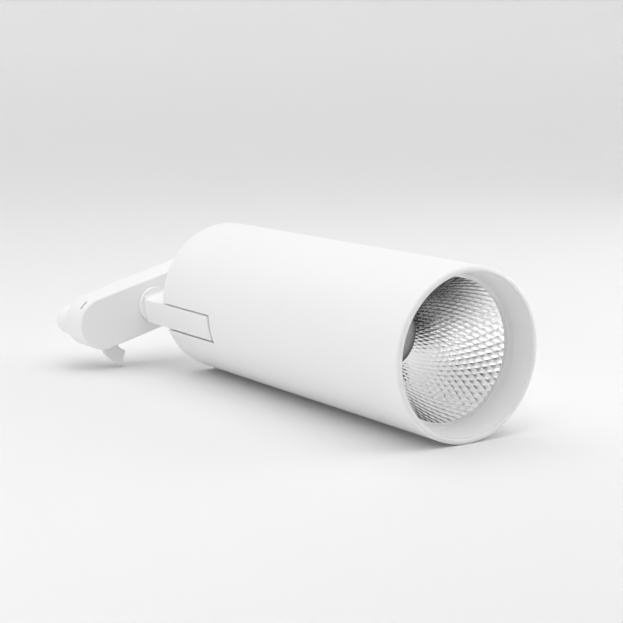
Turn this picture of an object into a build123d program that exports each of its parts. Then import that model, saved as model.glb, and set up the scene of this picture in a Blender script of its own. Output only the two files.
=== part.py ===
from build123d import *
import os
from math import asin, atan2, cos, degrees, hypot, radians, sin, sqrt

# A white track spotlight: a long cylindrical barrel with a recessed, faceted reflector, an arm that
# folds flush into a slot in the barrel's side, and a rounded adapter box whose turning plug locks it
# into a lighting track. It lies on its side, on the barrel and on the tip of the adapter's lever.
#
# All lengths are in millimetres. The model is drawn in barrel coordinates:
#   x     along the barrel's axis, 0 at the front rim and negative towards the adapter,
#   out   from the barrel's axis towards the arm,
#   side  across the arm, positive on the side away from the lever.
# At the end every node is rolled about the barrel's axis until the lever's tip touches the floor, and
# moved so that the bottom centre of the bounding box is the origin, with +Z up and +X to the front.

# --- driving dimensions ---------------------------------------------------------------------------
# barrel
barrel_radius = 47.5
barrel_wall = 3.0
barrel_length = 247.0
front_edge = 1.7         # round on the front rim's outside
rear_edge = 0.6
rim_chamfer = 0.5
slide_gap = 0.1          # radial gap of a piece that slides into the barrel
touch_gap = 0.05         # gap left between neighbours that touch

# recess in front of the reflector
ring_front = -0.6
ring_mouth_radius = 43.9
seat_radius = 41.3       # seat for a louvre or a filter
seat_front = -12.4
seat_back = -17.4
ring_back = -18.4
bezel_radius = 39.8

# reflector
reflector_mouth_radius = 39.5
reflector_throat_radius = 18.5
reflector_depth = 51.5
reflector_sheet = 1.0
retainer_length = 4.5
retainer_inner_radius = 41.5

# light source and heat sink
sink_front = -76.5
sink_base = 6.0
sink_length = 61.0
sink_core_radius = 14.0
fin_count = 20
fin_thickness = 1.8
pad_thickness = 0.5
board_side = 28.0
board_thickness = 1.2
phosphor_radius = 9.5
phosphor_height = 0.7
holder_radius = 24.5
holder_height = 4.2
holder_opening_radius = 11.0
holder_screw_radius_on = 19.0
release_slot_out = -20.5   # slot for the tool that frees the light source's wires
release_slot_side = -6.0
release_slot_length = 5.6
release_slot_width = 2.6
release_slot_depth = 2.0

# driver and its tray
driver_front = -146.0
driver_back = -232.0
driver_low = -30.0
driver_high = 2.0
driver_half_width = 27.0
driver_wall = 1.6
tray_sheet = 1.5
tray_flange_half_width = 12.0
board_level = -24.0

# rear cap
cap_thickness = 4.0
vent_length = 24.0
vent_width = 3.0
vent_pitch = 7.0
vent_count = 5
vent_centre_out = -12.0

# slot, channel and tilt pivot
slot_length = 57.8
slot_half_width = 9.1
slot_front_gap = 2.8
cheek = 2.0
channel_floor = 19.0
channel_floor_sheet = 2.0
pivot_out = 38.0
pivot_overhang = 14.0    # from the pivot to the arm's front end
pivot_radius = 3.0
pivot_head_radius = 4.0
pivot_head_height = 2.4
pivot_bush_radius = 5.0
washer_radius = 6.4
running_gap = 0.05       # radial clearance of every running fit

# arm
arm_half_width = 8.0
arm_inner = 31.0
arm_edge = 0.8
arm_nose = 1.2
arm_foot = 3.0
arm_reach = 28.5         # from the barrel's rear end to the adapter's face
groove_half_width = 3.5
groove_depth = 10.2
cover_sheet = 1.5
cover_half_width = 7.0
cover_screw_side = 5.3
cable_side = 0.9         # so that the cable runs straight into the stud
disc_radius = 11.4
disc_thickness = 3.0
disc_gap = 0.3

# adapter box and swivel
swivel_out = 39.0
swivel_side = 2.2         # the swivel sits a little above the arm's centre line
swivel_rest = 3.4        # how far the adapter is turned from the arm at rest, in degrees
box_end_radius = 17.0
box_centre_spacing = 75.0
box_depth = 22.0
box_wall = 2.0
box_face = 2.5
box_edge = 1.2
lid_sheet = 2.5
stud_radius = 5.0
stud_bore = 3.5
swivel_bush_radius = 6.0
swivel_nut_radius = 8.0
swivel_nut_height = 3.5
wave_washer = 0.8
stud_end = 8.6           # how far the stud stands inside the face

# turning plug and lever
lever_level = 9.5        # from the adapter's face to the lever
lever_thickness = 4.0
lever_hub_radius = 9.0
lever_hub_height = 6.0
lever_pin_radius = 3.0
plug_neck_radius = 8.45
plug_gap = 3.0           # room for the track's lip
plug_height = 14.0
plug_half_width = 9.25
plug_half_length = 16.0
contact_sheet = 0.8
contact_proud = 1.2
contact_out = -8.5       # from the tongue's middle to its two line contacts
contact_half_length = 2.2
tongue_half_width = 8.5
tongue_half_length = 13.0
tongue_height = 10.5

cable_radius = 2.0
wire_radius = 0.8
wire_hole_radius = 1.5
screw_shank = 1.25
screw_head = 2.5
screw_head_height = 1.6

# --- places worked out from them ------------------------------------------------------------------
bore_radius = barrel_radius - barrel_wall
fit_radius = bore_radius - slide_gap
barrel_back = -barrel_length
cap_front = barrel_back + cap_thickness
slot_front = barrel_back + slot_length
arm_front = slot_front - slot_front_gap
pivot_x = arm_front - pivot_overhang
cheek_outer = slot_half_width + cheek
channel_top = sqrt(fit_radius**2 - cheek_outer**2)
face_x = barrel_back - arm_reach
box_back = face_x - box_depth
disc_front = face_x + disc_gap + disc_thickness
end_near = swivel_out - box_centre_spacing / 2
end_far = swivel_out + box_centre_spacing / 2
plug_front = box_back - plug_gap
plug_back = plug_front - plug_height
lever_front = face_x - lever_level
lever_back = lever_front - lever_thickness
reflector_front = ring_back - touch_gap
reflector_back = reflector_front - reflector_depth
sink_back = sink_front - sink_length

# The lever's outline, from the plug's axis: (out, side). The handle leaves the box, flares into a
# thumb hook and narrows to the tip that touches the floor.
lever_tip = (-9.1, -34.2)
lever_tip_radius = 1.0
lever_outline = [
    (1.2, -5.0),
    (1.0, -22.6),
    (-3.1, -29.3),
    (-8.2, -34.4),
    (-10.0, -34.4),
    (-9.8, -31.5),
    (-10.4, -29.0),
    (-12.7, -26.2),
    (-12.9, -25.3),
    (-9.3, -21.6),
    (-9.0, -17.0),
    (-7.8, -5.0),
]


def turned_place(out, side):
    """Where a point of the adapter is once the adapter is turned on its swivel."""
    angle = radians(swivel_rest)
    away = out - swivel_out
    out = swivel_out + away * cos(angle) + side * sin(angle)
    return out, swivel_side + side * cos(angle) - away * sin(angle)


# The lamp lies on the barrel and on the lever's tip, which fixes how far it is rolled.
tip_out, tip_side = turned_place(end_far + lever_tip[0], lever_tip[1])
tip_level = barrel_radius - lever_tip_radius
roll = degrees(asin(tip_level / hypot(tip_out, tip_side)) - atan2(-tip_side, tip_out))

# The bounding box runs from the front rim to the plug, from the adapter's round end to the far side
# of the barrel, and from the floor to the top of the barrel.
far_out, far_side = turned_place(end_far, 0)
low_y = -far_out * cos(radians(roll)) - far_side * sin(radians(roll)) - box_end_radius
shift = (-plug_back / 2, -(low_y + barrel_radius) / 2, barrel_radius)


# --- helpers ----------------------------------------------------------------------------------------
def at(x, out=0.0, side=0.0):
    """A place in barrel coordinates."""
    return Pos(x, -out, side)


def rod_x(radius, x0, x1, out=0.0, side=0.0):
    """A round bar along the barrel's axis."""
    return at((x0 + x1) / 2, out, side) * Rot(0, 90, 0) * Cylinder(radius, abs(x1 - x0))


def rod_out(radius, out0, out1, x, side=0.0):
    """A round bar that points away from the barrel's axis."""
    return at(x, (out0 + out1) / 2, side) * Rot(90, 0, 0) * Cylinder(radius, abs(out1 - out0))


def rod_side(radius, side0, side1, x, out):
    """A round bar across the arm."""
    return at(x, out, (side0 + side1) / 2) * Cylinder(radius, abs(side1 - side0))


def block(x0, x1, out0, out1, side0, side1):
    """A square block between two corners."""
    size = (abs(x1 - x0), abs(out1 - out0), abs(side1 - side0))
    return at((x0 + x1) / 2, (out0 + out1) / 2, (side0 + side1) / 2) * Box(*size)


def hexagon_x(radius, x0, x1, out, side=0.0):
    """A hexagonal bar along x, such as a nut."""
    prism = extrude(Plane.YZ * RegularPolygon(radius, 6), x0 - x1)
    return at(x1, out, side) * prism


def stadium(x0, x1, out0, out1, radius):
    """A plate with round ends centred at out0 and out1, its thickness along x."""
    middle = block(x0, x1, out0, out1, -radius, radius)
    return rod_x(radius, x0, x1, out0) + rod_x(radius, x0, x1, out1) + middle


def turned(points):
    """A solid of revolution about the barrel's axis from a closed outline of (x, radius) points."""
    outline = make_face(Polyline(*points, close=True))
    return revolve(outline, axis=Axis.X)


def screw_x(head_x, out, side, length, towards=1):
    """A pan-head screw along x. Its head starts at head_x and its shank runs towards +x or -x."""
    head = rod_x(screw_head, head_x, head_x - towards * screw_head_height, out, side)
    return head + rod_x(screw_shank, head_x, head_x + towards * length, out, side)


def screw_hole_x(x0, x1, out, side):
    """The hole that a screw along x passes through."""
    return rod_x(screw_shank + touch_gap, x0, x1, out, side)


def cable(points, radii, radius):
    """A cable along straight runs joined by arcs. Points are (x, out, side)."""
    path = FilletPolyline(*[(x, -out, side) for x, out, side in points], radius=radii)
    start = Plane(path @ 0, z_dir=path % 0)
    return sweep(start * Circle(radius), path=path)


# --- barrel and optics --------------------------------------------------------------------------------
def rim_edge(tube, radius, x):
    """The circular edge of a tube with this radius at this place."""
    circles = tube.edges().filter_by(GeomType.CIRCLE)
    return [edge for edge in circles if abs(edge.radius - radius) < 0.01 and abs(edge.center().X - x) < 0.01]


def barrel_tube():
    """The outer tube, with the arm's slot open to the rear."""
    tube = rod_x(barrel_radius, 0, barrel_back) - rod_x(bore_radius, 0, barrel_back)
    tube = chamfer(rim_edge(tube, bore_radius, 0), rim_chamfer)
    tube = fillet(rim_edge(tube, barrel_radius, 0), front_edge)
    tube = fillet(rim_edge(tube, barrel_radius, barrel_back), rear_edge)
    half = slot_half_width
    return tube - block(slot_front, barrel_back - 1, pivot_out, barrel_radius + 1, -half, half)


def front_ring():
    """The tapered recess ring, with a short cylindrical seat in front of the reflector."""
    return turned(
        [
            (ring_front, fit_radius),
            (ring_back, fit_radius),
            (ring_back, bezel_radius),
            (seat_back, bezel_radius),
            (seat_back, seat_radius),
            (seat_front, seat_radius),
            (ring_front, ring_mouth_radius),
        ]
    )


def reflector_radius(share):
    """Radius of the parabolic bowl at a share of its depth, 0 at the throat and 1 at the mouth."""
    return sqrt(reflector_throat_radius**2 * (1 - share) + reflector_mouth_radius**2 * share)


def reflector():
    """The bowl, with the flange that is held behind the recess ring."""
    places = [(reflector_back + reflector_depth * share, reflector_radius(share)) for share in (0, 0.5, 1)]
    inner = ThreePointArc(*places)
    outer = ThreePointArc(*[(x, radius + reflector_sheet) for x, radius in places])
    mouth = Line(inner @ 1, outer @ 1)
    throat = Line(inner @ 0, outer @ 0)
    bowl = revolve(make_face([inner, mouth, outer, throat]), axis=Axis.X)
    flange = turned(
        [
            (reflector_front, reflector_mouth_radius + reflector_sheet / 2),
            (reflector_front, fit_radius),
            (reflector_front - reflector_sheet, fit_radius),
            (reflector_front - reflector_sheet, reflector_mouth_radius + reflector_sheet / 2),
        ]
    )
    return bowl + flange


def reflector_retainer():
    """The ring behind the reflector's flange."""
    front = reflector_front - reflector_sheet - touch_gap
    return rod_x(fit_radius, front, front - retainer_length) - rod_x(
        retainer_inner_radius, front, front - retainer_length
    )


pad_front = sink_front + pad_thickness
board_front = pad_front + board_thickness


def thermal_pad():
    """The pad under the light source's board."""
    half = board_side / 2
    return block(sink_front, pad_front, -half, half, -half, half)


def led_board():
    """The chip-on-board light source's ceramic board."""
    half = board_side / 2
    return block(pad_front, board_front, -half, half, -half, half)


def led_phosphor():
    """The round light-emitting surface."""
    return rod_x(phosphor_radius, board_front, board_front + phosphor_height)


def led_holder():
    """The round holder that presses the board against the heat sink."""
    front = sink_front + holder_height
    half = board_side / 2 + touch_gap
    body = rod_x(holder_radius, sink_front, front)
    body -= block(sink_front - 1, board_front + touch_gap, -half, half, -half, half)
    body -= rod_x(holder_opening_radius, sink_front, front + 1)
    for side in (-holder_screw_radius_on, holder_screw_radius_on):
        body -= screw_hole_x(sink_front - 1, front + 1, 0, side)
    low, high = release_slot_out - release_slot_width / 2, release_slot_out + release_slot_width / 2
    near, far = release_slot_side - release_slot_length / 2, release_slot_side + release_slot_length / 2
    return body - block(front - release_slot_depth, front + 1, low, high, near, far)


def led_holder_screws():
    """Two screws through the holder into the heat sink."""
    front = sink_front + holder_height
    return [screw_x(front, 0, side, 9.0, -1) for side in (-holder_screw_radius_on, holder_screw_radius_on)]


wire_places = [(-28.0, -2.2), (-28.0, 2.2)]
tray_screw_places = [(-8.0, -6.0), (-8.0, 6.0)]
tray_front = sink_back - tray_sheet


def heat_sink():
    """A round base with radial fins round a core."""
    base_back = sink_front - sink_base
    body = rod_x(fit_radius, sink_front, base_back) + rod_x(sink_core_radius, base_back, sink_back)
    half = fin_thickness / 2
    fin = block(base_back, sink_back, sink_core_radius - 2, fit_radius - 0.5, -half, half)
    for i in range(fin_count):
        body += Rot((i + 0.5) * 360 / fin_count, 0, 0) * fin
    for out, side in wire_places:
        body -= rod_x(wire_hole_radius, sink_front + 1, base_back - 1, out, side)
    for side in (-holder_screw_radius_on, holder_screw_radius_on):
        body -= screw_hole_x(sink_front + 1, base_back - 1, 0, side)
    for out, side in tray_screw_places:
        body -= screw_hole_x(sink_back - 1, sink_back + 9, out, side)
    return body


def led_wires():
    """The two wires from the driver to the light source."""
    front_x = sink_front + 3.1
    wires = []
    for out, side in wire_places:
        points = [(driver_front + touch_gap, out, side), (front_x, out, side)]
        points.append((front_x, -(holder_radius + touch_gap), side))
        wires.append(cable(points, 2.2, wire_radius))
    return wires


# --- driver and rear end ------------------------------------------------------------------------------
cap_screw_places = [(-20.0, -8.0), (-20.0, 8.0)]
channel_screw_places = [(17.0, -7.0), (17.0, 7.0)]


def driver_tray():
    """The folded sheet that carries the driver between the heat sink and the rear cap."""
    low = driver_low - touch_gap - tray_sheet
    flange = tray_flange_half_width
    body = block(sink_back, cap_front, low, low + tray_sheet, -driver_half_width, driver_half_width)
    body += block(sink_back, tray_front, low, 2.0, -flange, flange)
    body += block(cap_front, cap_front + tray_sheet, low, -12.0, -flange, flange)
    for out, side in tray_screw_places:
        body -= screw_hole_x(sink_back + 1, tray_front - 1, out, side)
    for out, side in cap_screw_places:
        body -= screw_hole_x(cap_front - 1, cap_front + tray_sheet + 1, out, side)
    for out, side in wire_places:
        body -= rod_x(wire_hole_radius, sink_back + 1, tray_front - 1, out, side)
    return body


def tray_screws():
    """Two screws from the tray into the heat sink's core."""
    return [screw_x(tray_front, out, side, 8.0) for out, side in tray_screw_places]


def driver_case():
    """The driver's open box."""
    half = driver_half_width
    wall = driver_wall
    outer = block(driver_front, driver_back, driver_low, driver_high - wall, -half, half)
    half -= wall
    return outer - block(driver_front - wall, driver_back + wall, driver_low + wall, driver_high, -half, half)


def driver_lid():
    """The driver's cover."""
    high = driver_high
    return block(driver_front, driver_back, high - driver_wall, high, -driver_half_width, driver_half_width)


def driver_board():
    """The driver's circuit board."""
    inset = driver_wall + 1.0
    half = driver_half_width - inset
    front, back = driver_front - inset, driver_back + inset
    return block(front, back, board_level, board_level + 1.6, -half, half)


def driver_transformer():
    """The transformer on the driver's board."""
    middle = (driver_front + driver_back) / 2
    floor = board_level + 1.6
    core = block(middle - 11, middle + 11, floor, floor + 17, -10, 10)
    return core + block(middle - 13, middle + 13, floor + 4, floor + 13, -12, 12)


def driver_capacitors():
    """Three capacitors on the driver's board."""
    floor = board_level + 1.6
    front = driver_front - 14
    cans = [rod_out(5.0, floor, floor + 16, front, side) for side in (-13, 0, 13)]
    return cans


def rear_cap():
    """The barrel's rear cap, with vents, and a notch for the arm."""
    body = rod_x(fit_radius, cap_front, barrel_back)
    front, back = cap_front + 1, barrel_back - 1
    body -= block(front, back, arm_inner - 1, barrel_radius, -slot_half_width, slot_half_width)
    for i in range(vent_count):
        out = vent_centre_out + (i - (vent_count - 1) / 2) * vent_pitch
        if abs(out - cap_screw_places[0][0]) > 4.5:
            half = vent_length / 2
            body -= block(front, back, out - vent_width / 2, out + vent_width / 2, -half, half)
    for out, side in cap_screw_places + channel_screw_places:
        body -= screw_hole_x(cap_front + 1, barrel_back - 1, out, side)
        body -= rod_x(screw_head + 0.3, barrel_back - 1, barrel_back + screw_head_height + 0.3, out, side)
    return body


def rear_cap_screws():
    """Four screws through the rear cap, into the tray and into the channel."""
    seat = barrel_back + screw_head_height + 0.3
    return [screw_x(seat, out, side, 8.0) for out, side in cap_screw_places + channel_screw_places]


# --- slot channel and tilt pivot ------------------------------------------------------------------------
def pivot_channel():
    """The channel that lines the slot, with a cheek on each side of the arm."""
    front = slot_front + cheek
    floor = channel_floor + channel_floor_sheet
    body = block(front, cap_front, channel_floor, channel_top, -cheek_outer, cheek_outer)
    body -= block(slot_front, cap_front - 1, floor, channel_top + 1, -slot_half_width, slot_half_width)
    for out, side in channel_screw_places:
        body += block(cap_front, cap_front + 12, out - 3.0, channel_floor + 1, side - 3.0, side + 3.0)
    for out, side in channel_screw_places:
        body -= screw_hole_x(cap_front - 1, cap_front + 10, out, side)
    body -= rod_side(pivot_radius + running_gap, -cheek_outer - 1, cheek_outer + 1, pivot_x, pivot_out)
    body -= rod_out(cable_radius + 0.6, channel_floor - 4, floor + 1, cable_hole_x)
    return body


cable_hole_x = pivot_x - 16.0
washer_inner = slot_half_width - touch_gap
washer_outer = arm_half_width + touch_gap


def pivot_pin():
    """The shoulder screw that the arm tilts on."""
    pin = rod_side(pivot_radius, -cheek_outer, cheek_outer + touch_gap, pivot_x, pivot_out)
    head_side = cheek_outer + touch_gap
    pin += rod_side(pivot_head_radius, head_side, head_side + pivot_head_height, pivot_x, pivot_out)
    return pin + rod_side(2.0, -cheek_outer, -cheek_outer - pivot_head_height, pivot_x, pivot_out)


def pivot_nut():
    """The lock nut on the shoulder screw."""
    low = -cheek_outer - touch_gap
    prism = extrude(RegularPolygon(pivot_head_radius, 6), pivot_head_height)
    nut = at(pivot_x, pivot_out, low - pivot_head_height) * prism
    return nut - rod_side(2.0 + running_gap, low + 1, low - pivot_head_height - 1, pivot_x, pivot_out)


def friction_washers():
    """A friction washer between the arm and each cheek."""
    washers = []
    for sign in (-1, 1):
        ring = rod_side(washer_radius, sign * washer_outer, sign * washer_inner, pivot_x, pivot_out)
        washers.append(ring - rod_side(pivot_radius + running_gap, sign * 7, sign * 10, pivot_x, pivot_out))
    return washers


def supply_cable_head():
    """The mains cable inside the barrel, from the channel to the driver."""
    inlet = channel_floor + channel_floor_sheet + 1.0
    points = [
        (cable_hole_x, inlet, 0.0),
        (cable_hole_x, 9.0, 0.0),
        (driver_back - 5.5, 5.0, 0.0),
        (driver_back - 5.5, -9.0, 0.0),
        (driver_back - touch_gap, -9.0, 0.0),
    ]
    return cable(points, 2.4, cable_radius)


# --- arm ----------------------------------------------------------------------------------------------
cover_screw_x = [pivot_x - 14.0, barrel_back - 8.0]
groove_front = pivot_x - 9.0
groove_back = disc_front + 2.0


def arm_foot_flare():
    """The concave flare where the arm's upper side meets its disc."""
    front, far = disc_front + arm_foot, arm_half_width + arm_foot
    low, high = arm_inner + arm_edge, sqrt(barrel_radius**2 - arm_half_width**2) - arm_edge
    flare = block(disc_front - 0.5, front, low, high, arm_half_width - 0.5, far)
    flare -= rod_out(arm_foot, low - 1, high + 1, front, far)
    return flare & rod_x(disc_radius, disc_front - 1, front + 1, swivel_out, swivel_side)


def arm_bar():
    """The arm: a bar whose outer face continues the barrel's, with a round disc at the swivel."""
    bar = block(arm_front, disc_front - 1, arm_inner, barrel_radius + 2, -arm_half_width, arm_half_width)
    bar &= rod_x(barrel_radius, arm_front + 1, disc_front - 2)
    nose = [
        edge
        for edge in bar.edges()
        if abs(edge.center().X - arm_front) < 0.01 and -edge.center().Y > barrel_radius - 2
    ]
    bar = fillet(nose, arm_nose)
    side = arm_half_width - 0.1
    long_edges = [edge for edge in bar.edges().filter_by(Axis.X) if abs(edge.center().Z) > side]
    bar = fillet(long_edges, arm_edge)
    bar += rod_x(disc_radius, disc_front, disc_front - disc_thickness, swivel_out, swivel_side)
    bar += arm_foot_flare()
    groove_top = arm_inner + groove_depth
    bar -= block(groove_front, groove_back, arm_inner - 1, groove_top, -groove_half_width, groove_half_width)
    bar -= rod_x(stud_radius, groove_back + 2, face_x, swivel_out, swivel_side)
    bar -= rod_side(pivot_bush_radius, -arm_half_width - 1, arm_half_width + 1, pivot_x, pivot_out)
    for x in cover_screw_x:
        for side in (-cover_screw_side, cover_screw_side):
            bar -= rod_out(0.8 + touch_gap, arm_inner - 1, arm_inner + 6, x, side)
    half = cover_half_width
    return bar - block(groove_front + 1, groove_back, arm_inner - 1, arm_inner + cover_sheet, -half, half)


def arm_cover():
    """The plate that closes the arm's cable groove."""
    front, back = groove_front + 1 - touch_gap, groove_back + touch_gap
    inner, outer = arm_inner, arm_inner + cover_sheet - touch_gap
    half = cover_half_width - touch_gap
    plate = block(front, back, inner, outer, -half, half)
    plate -= rod_out(cable_radius + 0.4, inner - 1, outer + 1, groove_front - 3.0, cable_side)
    for x in cover_screw_x:
        for side in (-cover_screw_side, cover_screw_side):
            plate -= rod_out(0.8 + touch_gap, inner - 1, outer + 1, x, side)
    return plate


def arm_cover_screws():
    """Four small screws that hold the arm's cover."""
    screws = []
    for x in cover_screw_x:
        for side in (-cover_screw_side, cover_screw_side):
            shank = rod_out(0.8, arm_inner, arm_inner + 5, x, side)
            screws.append(shank + rod_out(1.4, arm_inner - 0.8, arm_inner - touch_gap / 5, x, side))
    return screws


def pivot_bush():
    """The bush pressed into the arm at the tilt pivot."""
    ring = rod_side(pivot_bush_radius, -arm_half_width, arm_half_width, pivot_x, pivot_out)
    bore = rod_side(pivot_radius + running_gap, -arm_half_width - 1, arm_half_width + 1, pivot_x, pivot_out)
    return ring - bore


stud_front = groove_back - touch_gap
stud_back = face_x - stud_end


def swivel_stud():
    """The hollow stud that joins the arm to the adapter."""
    stud = rod_x(stud_radius, stud_front, stud_back, swivel_out, swivel_side)
    return stud - rod_x(stud_bore, stud_front + 1, stud_back - 1, swivel_out, swivel_side)


bush_flange = face_x - box_face - 1.0
washer_back = bush_flange - touch_gap - wave_washer
nut_back = washer_back - touch_gap - swivel_nut_height


def swivel_washer():
    """The spring washer under the swivel's nut."""
    front = bush_flange - touch_gap
    washer = rod_x(swivel_nut_radius, front, washer_back, swivel_out, swivel_side)
    return washer - rod_x(stud_radius + running_gap, front + 1, washer_back - 1, swivel_out, swivel_side)


def swivel_nut():
    """The thin nut on the hollow stud."""
    nut = hexagon_x(swivel_nut_radius, washer_back - touch_gap, nut_back, swivel_out, swivel_side)
    return nut - rod_x(stud_radius + touch_gap / 5, washer_back + 1, nut_back - 1, swivel_out, swivel_side)


def supply_cable_arm():
    """The mains cable inside the arm and through the hollow stud."""
    level = arm_inner + cover_sheet + cable_radius + 0.3
    points = [
        (groove_front - 2.0, level, cable_side),
        (groove_back + 24.0, level, cable_side),
        (groove_back + 8.0, swivel_out, cable_side),
        (stud_back + touch_gap, swivel_out, cable_side),
    ]
    return cable(points, 20.0, cable_radius)


# --- adapter ------------------------------------------------------------------------------------------
lid_screw_places = [(60.0, 12.4), (24.0, 12.0), (24.0, -12.0), (-9.0, 6.0)]
lid_front = box_back + lid_sheet
lever_floor = 0.8
lever_gap = 0.3
lever_pocket = lever_back + lever_floor + screw_head_height
lever_slot_low = end_far - 35.5
lever_slot_high = end_far + 2.5
window_angle = 62.5
window_level = face_x - 6.2
window_length = 6.0
window_height = 2.0


def adapter_housing():
    """The adapter's box, with a slot for the lever in one side and a small window in the other."""
    inner_radius = box_end_radius - box_wall
    body = stadium(face_x, box_back, end_near, end_far, box_end_radius)
    face_edges = body.faces().sort_by(Axis.X)[-1].edges()
    body = fillet(face_edges, box_edge)
    body -= stadium(face_x - box_face, box_back - 1, end_near, end_far, inner_radius)
    body -= rod_x(swivel_bush_radius, face_x + 1, face_x - box_face - 1, swivel_out)
    slot_sides = (-box_end_radius - 1, -inner_radius + 2)
    body -= block(lever_front + 0.5, lever_back - 0.5, lever_slot_low, lever_slot_high, *slot_sides)
    low, high = window_level - window_height / 2, window_level + window_height / 2
    cutter = block(low, high, 12, 22, -window_length / 2, window_length / 2)
    body -= at(0, end_far) * Rot(-window_angle, 0, 0) * cutter
    body += rod_x(lever_pin_radius, face_x - box_face, lever_pocket + lever_gap, end_far)
    posts = []
    for out, side in lid_screw_places:
        post = rod_x(2.6, face_x - box_face, lid_front + touch_gap, out, side)
        posts.append(post - screw_hole_x(lid_front + 12, lid_front - 1, out, side))
    for post in posts:
        body += post
    return body


def swivel_bush():
    """The flanged bush that the stud turns in."""
    sleeve = rod_x(swivel_bush_radius - touch_gap / 5, face_x, bush_flange, swivel_out)
    sleeve += rod_x(swivel_nut_radius, face_x - box_face - touch_gap / 5, bush_flange, swivel_out)
    return sleeve - rod_x(stud_radius + running_gap, face_x + 1, bush_flange - 1, swivel_out)


def adapter_lid():
    """The plate that closes the box on the track side."""
    radius = box_end_radius - box_wall - touch_gap
    body = stadium(lid_front, box_back, end_near, end_far, radius)
    body -= rod_x(plug_neck_radius + 0.1, lid_front + 1, box_back - 1, end_far)
    for out in tongue_screw_out:
        body -= screw_hole_x(lid_front + 1, box_back - 1, out, 0)
    for out, side in lid_screw_places:
        body -= screw_hole_x(lid_front + 1, box_back - 1, out, side)
        body -= rod_x(screw_head + 0.3, box_back - 1, box_back + 1.4, out, side)
    return body


def adapter_screws():
    """Four screws that hold the lid, with their heads below its face."""
    screws = []
    for out, side in lid_screw_places:
        head = rod_x(screw_head, box_back + 0.2, box_back + 1.35, out, side)
        screws.append(head + rod_x(screw_shank, box_back + 1.3, box_back + 11, out, side))
    return screws


tongue_screw_out = [end_near - 8.0, end_near + 8.0]


contact_low = box_back - 3.0
contact_high = box_back - 8.5
pocket_depth = 2.0


def guide_tongue():
    """The fixed tongue that guides the adapter's other end in the track."""
    top = box_back - tongue_height
    low, high = end_near - tongue_half_length, end_near + tongue_half_length
    body = block(box_back, top, low, high, -tongue_half_width, tongue_half_width)
    body = fillet(body.edges().filter_by(Axis.X), 3.0)
    body = chamfer(body.faces().sort_by(Axis.X)[0].edges(), 0.8)
    half = tongue_half_width + 1
    body -= block(box_back - 3.0, top - 1, end_near - 3.2, end_near + 3.2, -half, half)
    for out in tongue_screw_out:
        body -= screw_hole_x(box_back + 1, box_back - 8, out, 0)
    half = contact_half_length + 0.2
    middle = end_near + contact_out
    for sign in (-1, 1):
        sides = (sign * (tongue_half_width - pocket_depth), sign * (tongue_half_width + 1))
        body -= block(contact_low, contact_high, middle - half, middle + half, *sides)
    return body


def tongue_screws():
    """Two screws from inside the box into the tongue."""
    return [screw_x(lid_front + touch_gap, out, 0, 9.5, -1) for out in tongue_screw_out]


def earth_clip():
    """The springy earth contact that wraps the tongue."""
    low, high = box_back - 3.0 - touch_gap, box_back - tongue_height + 0.6
    half = tongue_half_width - 0.4
    body = block(low, high, end_near - 3.0, end_near + 3.0, -half - 1.2, half + 1.2)
    return body - block(low + 1, high + contact_sheet, end_near - 4, end_near + 4, -half - 0.4, half + 0.4)


def line_contacts():
    """The two sprung contacts in the sides of the tongue."""
    contacts = []
    low, high = contact_low - touch_gap, contact_high + touch_gap
    near = end_near + contact_out - contact_half_length
    far = end_near + contact_out + contact_half_length
    for sign in (-1, 1):
        root = sign * (tongue_half_width - pocket_depth + touch_gap)
        face = sign * (tongue_half_width + contact_proud)
        strip = block(low, high, near, far, root, face)
        inner = face - sign * contact_sheet
        contacts.append(strip - block(low - contact_sheet, high - 1, near - 1, far + 1, root - sign, inner))
    return contacts


terminal_low = 3.0
terminal_high = 18.0


def terminal_block():
    """The terminal block inside the adapter."""
    front = face_x - box_face - touch_gap
    body = block(front, front - 11.0, terminal_low, terminal_high, -8.5, 8.5)
    for side in (-5.5, 0.0, 5.5):
        body -= rod_x(1.6, front - 7, front - 12, 12.0, side)
        body -= rod_out(1.4, 11.0, 19.0, front - 4.0, side)
    return body


def terminal_screws():
    """Three clamping screws in the terminal block."""
    front = face_x - box_face - touch_gap
    return [rod_x(1.5, front - 7.5, front - 10.5, 12.0, side) for side in (-5.5, 0.0, 5.5)]


def supply_cable_adapter():
    """The mains cable inside the adapter, from the stud to the terminal block."""
    level = face_x - 15.5
    inlet = face_x - 8.0
    side = cable_side - swivel_side
    points = [
        (stud_back - touch_gap, swivel_out, side),
        (level, swivel_out, side),
        (level, terminal_high + 10.0, side),
        (inlet, terminal_high + 5.0, side),
        (inlet, terminal_high + touch_gap, side),
    ]
    return cable(points, 2.2, cable_radius)


# --- turning plug -------------------------------------------------------------------------------------
def lock_lever():
    """The lever that turns the plug, on a hub inside the box."""
    outline = make_face(Polyline(*[(-out, side) for out, side in lever_outline], close=True))
    handle = extrude(Plane.YZ * outline, lever_thickness)
    hub = rod_x(lever_hub_radius, lever_back + lever_hub_height, lever_back, end_far)
    tip = rod_x(lever_tip_radius, lever_front, lever_back, end_far + lever_tip[0], lever_tip[1])
    body = at(lever_back, end_far) * handle + hub + tip
    pocket_top = lever_back + lever_hub_height + 1
    body -= rod_x(lever_pin_radius + running_gap, pocket_top, lever_back + lever_floor, end_far)
    return body - screw_hole_x(pocket_top, lever_back - 1, end_far, 0)


def plug_body():
    """The neck and the T-shaped head that turn under the track's lips."""
    straight = plug_half_length - plug_half_width
    head = stadium(plug_front, plug_back, end_far - straight, end_far + straight, plug_half_width)
    head = fillet(head.faces().sort_by(Axis.X)[0].edges(), 1.2)
    body = head + rod_x(plug_neck_radius, lever_back, plug_front, end_far)
    body -= screw_hole_x(lever_back + 1, lever_back - 9, end_far, 0)
    return body


def lever_screw():
    """The screw that ties the lever's hub to the plug."""
    return screw_x(lever_back + lever_floor, end_far, 0, 9.0, -1)


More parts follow.
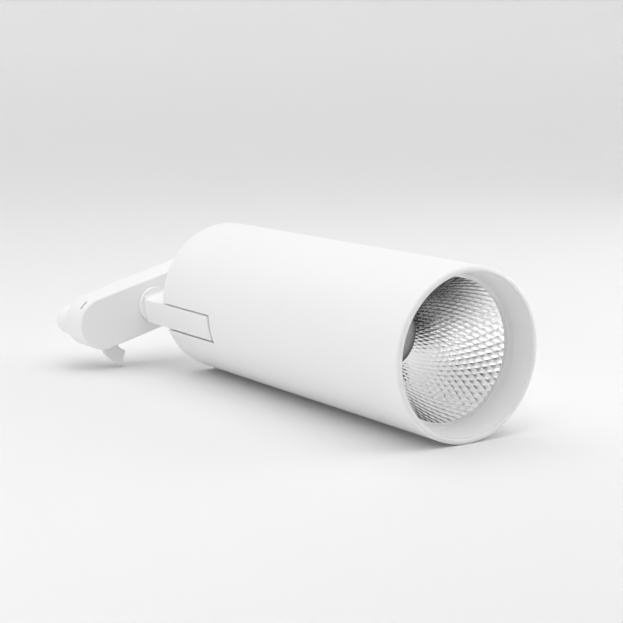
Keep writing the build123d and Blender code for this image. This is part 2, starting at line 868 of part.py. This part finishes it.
# --- writing ------------------------------------------------------------------------------------------
head_makers = [
    barrel_tube,
    front_ring,
    reflector,
    reflector_retainer,
    thermal_pad,
    led_board,
    led_phosphor,
    led_holder,
    led_holder_screws,
    heat_sink,
    led_wires,
    driver_tray,
    tray_screws,
    driver_case,
    driver_lid,
    driver_board,
    driver_transformer,
    driver_capacitors,
    rear_cap,
    rear_cap_screws,
    pivot_channel,
    pivot_pin,
    pivot_nut,
    friction_washers,
    supply_cable_head,
]
arm_makers = [
    arm_bar,
    arm_cover,
    arm_cover_screws,
    pivot_bush,
    swivel_stud,
    swivel_washer,
    swivel_nut,
    supply_cable_arm,
]
adapter_makers = [
    adapter_housing,
    swivel_bush,
    adapter_lid,
    adapter_screws,
    guide_tongue,
    tongue_screws,
    earth_clip,
    line_contacts,
    terminal_block,
    terminal_screws,
    supply_cable_adapter,
    lock_lever,
    plug_body,
    lever_screw,
]


def lie_down(shape):
    """Rolls a solid from barrel coordinates on to the floor."""
    return Pos(*shift) * Rot(roll, 0, 0) * shape


def turn_on_swivel(shape):
    """Turns a solid of the adapter about the swivel's axis."""
    return at(0, swivel_out, swivel_side) * Rot(swivel_rest, 0, 0) * at(0, -swivel_out) * shape


def main():
    os.makedirs("parts", exist_ok=True)
    for maker in head_makers + arm_makers + adapter_makers:
        made = maker()
        solids = made if isinstance(made, list) else [made]
        if maker in adapter_makers:
            solids = [turn_on_swivel(solid) for solid in solids]
        placed = [lie_down(solid) for solid in solids]
        node = placed[0] if len(placed) == 1 else Compound(children=placed)
        export_step(node, f"parts/{maker.__name__}.step")


if __name__ == "__main__":
    main()
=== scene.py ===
import bmesh
import bpy
from math import cos, hypot, pi, radians, sin, sqrt
from mathutils import Matrix, Vector


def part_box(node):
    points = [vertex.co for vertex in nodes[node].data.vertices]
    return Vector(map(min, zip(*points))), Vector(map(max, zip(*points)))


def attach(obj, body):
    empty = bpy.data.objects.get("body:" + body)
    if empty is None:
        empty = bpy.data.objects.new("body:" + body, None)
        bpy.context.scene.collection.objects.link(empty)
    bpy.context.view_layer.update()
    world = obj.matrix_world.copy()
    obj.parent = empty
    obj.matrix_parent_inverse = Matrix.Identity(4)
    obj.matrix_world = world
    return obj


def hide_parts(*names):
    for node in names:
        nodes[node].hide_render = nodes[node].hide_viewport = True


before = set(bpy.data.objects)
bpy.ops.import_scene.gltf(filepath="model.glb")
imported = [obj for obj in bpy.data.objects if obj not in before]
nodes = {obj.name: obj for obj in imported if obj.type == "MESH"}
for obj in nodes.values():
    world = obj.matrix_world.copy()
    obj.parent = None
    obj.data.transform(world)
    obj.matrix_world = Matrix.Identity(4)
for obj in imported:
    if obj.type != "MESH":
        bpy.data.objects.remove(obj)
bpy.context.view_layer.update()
scene = bpy.context.scene

# --- places, in metres, taken from the frame ---------------------------------------------------------
mm = 0.001
tube_low, tube_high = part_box("barrel_tube")
barrel_front = tube_high.x
barrel_diameter = tube_high.z - tube_low.z
axis_y = (tube_low.y + tube_high.y) / 2
axis_z = (tube_low.z + tube_high.z) / 2


# --- small helpers -----------------------------------------------------------------------------------
def link(obj):
    scene.collection.objects.link(obj)
    return obj


def smooth_step(low, high, value):
    """0 at low, 1 at high, and a soft rise between them."""
    share = min(1.0, max(0.0, (value - low) / (high - low)))
    return share * share * (3 - 2 * share)


def polar(azimuth, elevation, distance):
    """A point seen from the origin in a direction given in degrees."""
    level, height = distance * cos(radians(elevation)), distance * sin(radians(elevation))
    return Vector((level * cos(radians(azimuth)), level * sin(radians(azimuth)), height))


def facing_origin(place):
    """A placement whose -Z side looks at the origin."""
    return Matrix.Translation(place) @ (-place).to_track_quat("-Z", "Y").to_matrix().to_4x4()


def mesh_object(name, verts, faces):
    """A smooth-shaded mesh object."""
    mesh = bpy.data.meshes.new(name)
    mesh.from_pydata(verts, [], faces)
    mesh.validate()
    mesh.update()
    for polygon in mesh.polygons:
        polygon.use_smooth = True
    return link(bpy.data.objects.new(name, mesh))


# --- materials ---------------------------------------------------------------------------------------
mix_dark, mix_light, mix_result = 6, 7, 2  # the mix node's sockets for colours


def grey(value):
    return (value, value, value)


def new_material(name, colour, roughness, metallic=0.0):
    """A principled material whose constants sit on the shader's own sockets."""
    material = bpy.data.materials.new(name)
    material.use_nodes = True
    tree = material.node_tree
    shader = tree.nodes["Principled BSDF"]
    shader.inputs["Base Color"].default_value = (*colour, 1)
    shader.inputs["Roughness"].default_value = roughness
    shader.inputs["Metallic"].default_value = metallic
    return material, tree, shader


def add_range(tree, value, start, end):
    """A node that maps a value from one range of numbers to another. Each range is a pair."""
    node = tree.nodes.new("ShaderNodeMapRange")
    node.inputs["From Min"].default_value, node.inputs["From Max"].default_value = start
    node.inputs["To Min"].default_value, node.inputs["To Max"].default_value = end
    tree.links.new(value, node.inputs["Value"])
    return node


def add_mix(tree, share, dark, light):
    """A colour between two colours."""
    node = tree.nodes.new("ShaderNodeMix")
    node.data_type = "RGBA"
    node.inputs[mix_dark].default_value = (*dark, 1)
    node.inputs[mix_light].default_value = (*light, 1)
    tree.links.new(share, node.inputs["Factor"])
    return node.outputs[mix_result]


def add_noise(tree, scale, detail, stretch=(1, 1, 1)):
    """A noise texture in object coordinates, whose scale is in features per metre."""
    coordinates = tree.nodes.new("ShaderNodeTexCoord")
    mapping = tree.nodes.new("ShaderNodeMapping")
    mapping.inputs["Scale"].default_value = stretch
    noise = tree.nodes.new("ShaderNodeTexNoise")
    noise.inputs["Scale"].default_value = scale
    noise.inputs["Detail"].default_value = detail
    tree.links.new(coordinates.outputs["Object"], mapping.inputs["Vector"])
    tree.links.new(mapping.outputs["Vector"], noise.inputs["Vector"])
    return noise.outputs["Fac"]


def add_bump(tree, shader, height, distance):
    bump = tree.nodes.new("ShaderNodeBump")
    bump.inputs["Distance"].default_value = distance
    tree.links.new(height, bump.inputs["Height"])
    tree.links.new(bump.outputs["Normal"], shader.inputs["Normal"])


def textured(name, dark, light, rough, metallic=0.0, grain=900, depth=0.01, patch=30, stretch=(1, 1, 1)):
    """A material whose colour varies in soft patches, and whose roughness and height vary in a fine grain.

    Patch and grain are in features per metre, and the grain's depth is in millimetres.
    """
    noise_range = (0.25, 0.75)
    material, tree, shader = new_material(name, light, rough[0], metallic)
    tree.links.new(add_mix(tree, add_noise(tree, patch, 3), dark, light), shader.inputs["Base Color"])
    fine = add_noise(tree, grain, 2, stretch)
    tree.links.new(add_range(tree, fine, noise_range, rough).outputs["Result"], shader.inputs["Roughness"])
    add_bump(tree, shader, fine, depth * mm)
    return material


def by_height(tree, coordinate, heights, values):
    """A value that goes from the first to the second between two heights of a texture coordinate."""
    coordinates = tree.nodes.new("ShaderNodeTexCoord")
    separate = tree.nodes.new("ShaderNodeSeparateXYZ")
    tree.links.new(coordinates.outputs[coordinate], separate.inputs["Vector"])
    rise = add_range(tree, separate.outputs["Z"], heights, values)
    rise.interpolation_type = "SMOOTHSTEP"
    return rise.outputs["Result"]


# --- camera, floor and light -------------------------------------------------------------------------
def add_camera():
    """The camera, placed in barrel diameters from the centre of the barrel's front rim."""
    turn, pitch = radians(33.94), radians(9.52)
    left, above, away = 0.8698, 0.2432, 8.378
    right = Vector((sin(turn), cos(turn), 0))
    level = Vector((-cos(turn), sin(turn), 0))
    forward = cos(pitch) * level - sin(pitch) * Vector((0, 0, 1))
    up = sin(pitch) * level + cos(pitch) * Vector((0, 0, 1))
    rim_centre = Vector((barrel_front, axis_y, axis_z))
    data = bpy.data.cameras.new("camera")
    data.sensor_width = 36
    data.lens = 88.2
    data.clip_start = 0.01
    data.clip_end = 20
    camera = link(bpy.data.objects.new("camera", data))
    place = rim_centre - (left * right - above * up + away * forward) * barrel_diameter
    turned = Matrix((right, up, -forward)).transposed().to_4x4()
    camera.matrix_world = Matrix.Translation(place) @ turned
    scene.camera = camera


def add_floor():
    """A paper floor that curves up into a backdrop behind the lamp and runs on flat towards the camera."""
    steps, flat_rings, bend_rings, wall_rings = 144, 6, 12, 3
    flat, bend, top, run_on = 1.5, 0.8, 2.2, 3.5    # run_on is how much further the flat side reaches
    wall_starts, wall_ends = (25, 45), (245, 220)   # where the wall rises and falls, in degrees
    profile = [(flat * i / flat_rings, 0.0) for i in range(1, flat_rings + 1)]
    for i in range(1, bend_rings + 1):
        angle = pi / 2 * i / bend_rings
        profile.append((flat + bend * sin(angle), bend - bend * cos(angle)))
    profile += [(flat + bend, bend + top * i / wall_rings) for i in range(1, wall_rings + 1)]
    verts = [(0.0, 0.0, 0.0)]
    for radius, height in profile:
        for j in range(steps):
            angle = 360 * j / steps
            wall = smooth_step(*wall_starts, angle) * smooth_step(*wall_ends, angle)
            reach = radius * (run_on + (1 - run_on) * wall)
            verts.append((reach * cos(radians(angle)), reach * sin(radians(angle)), height * wall))
    faces = [(0, 1 + j, 1 + (j + 1) % steps) for j in range(steps)]
    for i in range(len(profile) - 1):
        a, b = 1 + i * steps, 1 + (i + 1) * steps
        faces += [(a + j, b + j, b + (j + 1) % steps, a + (j + 1) % steps) for j in range(steps)]
    floor = mesh_object("floor", verts, faces)
    floor_tone, wall_tone, tone_height = 0.83, 0.98, 0.32
    paper, tree, shader = new_material("floor_paper", grey(floor_tone), 0.8)
    tone = by_height(tree, "Object", (0.0, tone_height), (floor_tone, wall_tone))
    tree.links.new(tone, shader.inputs["Base Color"])
    floor.data.materials.append(paper)


def add_flag(azimuth, elevation, distance, size):
    """A black card in front of the lamp, which shows only as a dark patch in what the lamp reflects."""
    width, height = size[0] / 2, size[1] / 2
    corners = [(-width, -height, 0), (width, -height, 0), (width, height, 0), (-width, height, 0)]
    flag = mesh_object("flag", corners, [(0, 1, 2, 3)])
    flag.data.transform(facing_origin(polar(azimuth, elevation, distance)))
    black, _, _ = new_material("flag_cloth", grey(0.01), 0.9)
    flag.data.materials.append(black)
    flag.visible_camera = False


def add_area(name, azimuth, elevation, distance, size, power):
    """A softbox that faces the lamp from a direction given in degrees."""
    data = bpy.data.lights.new(name, "AREA")
    data.shape = "RECTANGLE"
    data.size, data.size_y = size
    data.energy = power
    softbox = link(bpy.data.objects.new(name, data))
    softbox.matrix_world = facing_origin(polar(azimuth, elevation, distance))


def add_world(strength):
    """A room that is dark up to some way above the horizon and white overhead."""
    world = bpy.data.worlds.new("studio")
    world.use_nodes = True
    tree = world.node_tree
    background = tree.nodes["Background"]
    background.inputs["Strength"].default_value = strength
    tree.links.new(by_height(tree, "Generated", (0.45, 0.8), (0, 1)), background.inputs["Color"])
    scene.world = world


# --- reflector ---------------------------------------------------------------------------------------
def add_reflector():
    """The mirror bowl: staggered diamond facets, each slightly pillowed, on the CAD bowl's own profile.

    A vertex is known by its row, from the throat to the mouth, and its turn, in half steps round the axis.
    The facets' edges run where row + turn or row - turn is constant.
    """
    low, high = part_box("reflector")
    flange = (high.z - low.z) / 2
    depth, mouth, throat, sheet = 51.5 * mm, 39.5 * mm, 18.5 * mm, 1.0 * mm
    around, cuts = 60, 4                    # facets round the bowl, and mesh cuts along a facet's edge
    top, growth, pillow = 58, 1.636, 0.06   # last row, how rows widen to the mouth, a facet's rise per width
    steps, bands = around * cuts, 8         # mesh steps round the bowl, and bands along its outside
    verts, found, faces, creases = [], {}, [], set()

    def point(x, radius, angle):
        return (x, axis_y + radius * cos(angle), axis_z + radius * sin(angle))

    def profile(share):
        """Place, radius and slope of the bowl at a share of its depth."""
        radius = sqrt(throat**2 * (1 - share) + mouth**2 * share)
        return low.x + depth * share, radius, (mouth**2 - throat**2) / (2 * radius * depth)

    def vertex(row, turn):
        key = (row, turn % (2 * steps))
        if key not in found:
            x, radius, slope = profile((growth ** (row / top) - 1) / (growth - 1))
            across = 2 * ((turn + row) // 2 % cuts) / cuts - 1
            along = 2 * ((turn - row) // 2 % cuts) / cuts - 1
            rise = pillow * 2 * pi * radius / around * (1 - across**2) * (1 - along**2) / hypot(slope, 1)
            found[key] = len(verts)
            verts.append(point(x + rise * slope, radius - rise, pi * turn / steps))
        return found[key]

    for row in range(top + 1):
        for turn in range(row % 2, 2 * steps, 2):
            corners = [(row, turn), (row + 1, turn + 1), (row, turn + 2), (row - 1, turn + 1)]
            corners = [corner for corner in corners if 0 <= corner[0] <= top]
            faces.append([vertex(*corner) for corner in corners])
            for (r1, t1), (r2, t2) in zip(corners, corners[1:] + corners[:1]):
                rising = r1 + t1 == r2 + t2 and (r1 + t1) // 2 % cuts == 0
                falling = r1 - t1 == r2 - t2 and (t1 - r1) // 2 % cuts == 0
                if rising or falling:
                    creases.add(frozenset((vertex(r1, t1), vertex(r2, t2))))

    # The flange and the outside close the sheet, from the mouth's rim to the throat's.
    outside = [(high.x, flange), (high.x - sheet, flange), (high.x - sheet, mouth + 0.9 * sheet)]
    for i in range(bands - 1, -1, -1):
        x, radius, _ = profile(i / bands)
        outside.append((x, radius + sheet))
    rings = [[vertex(top, 2 * i) for i in range(steps)]]
    for x, radius in outside:
        rings.append(range(len(verts), len(verts) + steps))
        verts += [point(x, radius, 2 * pi * i / steps) for i in range(steps)]
    rings.append([vertex(0, 2 * i) for i in range(steps)])
    for ring, following in zip(rings, rings[1:]):
        faces += [(ring[i - 1], ring[i], following[i], following[i - 1]) for i in range(steps)]
    for ring in rings[:4] + rings[-2:]:
        creases |= {frozenset((ring[i - 1], ring[i])) for i in range(steps)}

    bowl = mesh_object("faceted_reflector", verts, faces)
    shell = bmesh.new()
    shell.from_mesh(bowl.data)
    bmesh.ops.recalc_face_normals(shell, faces=shell.faces)
    for edge in shell.edges:
        edge.smooth = frozenset(v.index for v in edge.verts) not in creases
    shell.to_mesh(bowl.data)
    shell.free()
    return bowl


# --- the studio --------------------------------------------------------------------------------------
add_camera()
add_floor()
add_flag(-6, 25, 1.1, (1.48, 0.8))
add_world(1.58)
add_area("left_softbox", -75, 12, 1.3, (1.1, 0.5), 3.75)
add_area("right_softbox", 65, 22, 1.3, (1.3, 0.9), 5.2)
add_area("top_softbox", -20, 68, 1.3, (1.0, 0.8), 1.1)
scene.view_settings.view_transform = "Standard"


# --- finishes ----------------------------------------------------------------------------------------
def finish(material, *names):
    """Gives CAD nodes a material."""
    for name in names:
        slots = nodes[name].data.materials
        slots.clear()
        slots.append(material)


mirror = textured("reflector_mirror", grey(0.92), grey(0.94), (0.02, 0.04), 1.0, grain=400, depth=0.001)

finish(
    textured("white_powder", grey(0.91), grey(0.93), (0.36, 0.44)),
    "barrel_tube", "front_ring", "rear_cap", "arm_bar",
)
finish(
    textured("white_plastic", grey(0.91), grey(0.93), (0.34, 0.42), grain=600),
    "reflector_retainer", "driver_case", "driver_lid", "pivot_channel", "arm_cover",
    "adapter_housing", "adapter_lid", "guide_tongue", "lock_lever", "plug_body",
)
finish(
    textured("holder_plastic", grey(0.91), grey(0.94), (0.5, 0.6), grain=700),
    "led_holder", "terminal_block",
)
finish(
    textured("board_ceramic", (0.86, 0.86, 0.83), (0.9, 0.9, 0.88), (0.4, 0.5)),
    "led_board",
)
finish(
    textured("phosphor", (0.78, 0.66, 0.3), (0.84, 0.72, 0.36), (0.45, 0.55), grain=2500),
    "led_phosphor",
)
finish(mirror, "reflector")
finish(
    textured("sink_aluminium", grey(0.5), grey(0.6), (0.3, 0.42), 1.0, grain=500, stretch=(0.05, 1, 1)),
    "heat_sink",
)
finish(
    textured("sheet_steel", grey(0.45), grey(0.62), (0.32, 0.46), 1.0, patch=220),
    "driver_tray", "swivel_stud", "swivel_washer", "swivel_nut",
)
finish(
    textured("screw_steel", (0.6, 0.62, 0.63), (0.7, 0.71, 0.72), (0.22, 0.34), 1.0, patch=300),
    "led_holder_screws", "tray_screws", "rear_cap_screws", "pivot_pin", "pivot_nut",
    "arm_cover_screws", "adapter_screws", "tongue_screws", "terminal_screws", "lever_screw",
)
finish(
    textured("contact_brass", (0.7, 0.52, 0.22), (0.8, 0.62, 0.3), (0.22, 0.34), 1.0, patch=200),
    "earth_clip", "line_contacts",
)
finish(
    textured("bush_plastic", grey(0.02), grey(0.035), (0.45, 0.6)),
    "friction_washers", "pivot_bush", "swivel_bush",
)
finish(
    textured("pad_rubber", grey(0.1), grey(0.14), (0.7, 0.8)),
    "thermal_pad",
)
finish(
    textured("board_green", (0.02, 0.14, 0.06), (0.03, 0.18, 0.08), (0.3, 0.4), patch=120),
    "driver_board",
)
finish(
    textured("core_ferrite", (0.05, 0.042, 0.035), (0.07, 0.06, 0.05), (0.55, 0.7)),
    "driver_transformer",
)
finish(
    textured("can_aluminium", grey(0.4), grey(0.5), (0.25, 0.35), 1.0, stretch=(1, 1, 0.1)),
    "driver_capacitors",
)
finish(
    textured("cable_sheath", grey(0.72), grey(0.76), (0.5, 0.6)),
    "supply_cable_head", "supply_cable_arm", "supply_cable_adapter",
)
finish(
    textured("wire_sheath", (0.4, 0.02, 0.015), (0.5, 0.03, 0.02), (0.4, 0.5)),
    "led_wires",
)

faceted = add_reflector()
faceted.data.materials.append(mirror)
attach(faceted, "barrel")
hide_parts("reflector")
